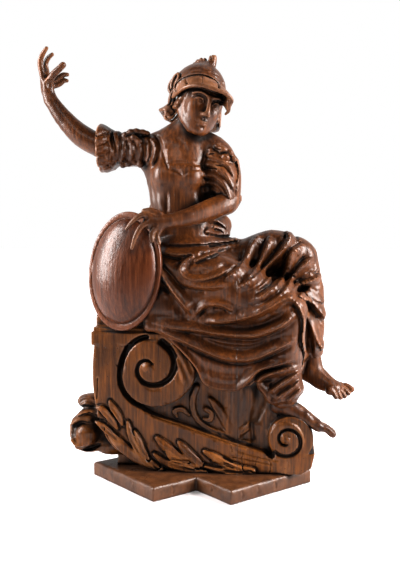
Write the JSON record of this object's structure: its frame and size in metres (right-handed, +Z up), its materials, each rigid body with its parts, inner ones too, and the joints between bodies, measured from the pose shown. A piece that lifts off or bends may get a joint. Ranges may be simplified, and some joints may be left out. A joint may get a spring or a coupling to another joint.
{
  "type": "ship figurehead",
  "caption": "Carved wooden ship figurehead: a helmeted woman in draped dress seated on a leafy scroll, arm raised, holding an oval shield, on a low plinth.",
  "frame": {"origin": "middle of the plinth's flat underside", "axes": "+Z up, +X towards the side her legs and the small volute are on, -Y the side her face and shield look to"},
  "size_m": [0.889, 0.424, 1.2343],
  "materials": {
    "carved_wood": "waxed and worn, orange-brown with near-black hollows",
    "shield_wood": "smooth waxed dark brown, paler on the dome",
    "plinth_wood": "dark stained board, satin, rubbed at the arrises"
  },
  "bodies": {
    "root": {"figure_and_scroll": "carved_wood", "shield": "shield_wood", "plinth": "plinth_wood"}
  },
  "joints": []
}
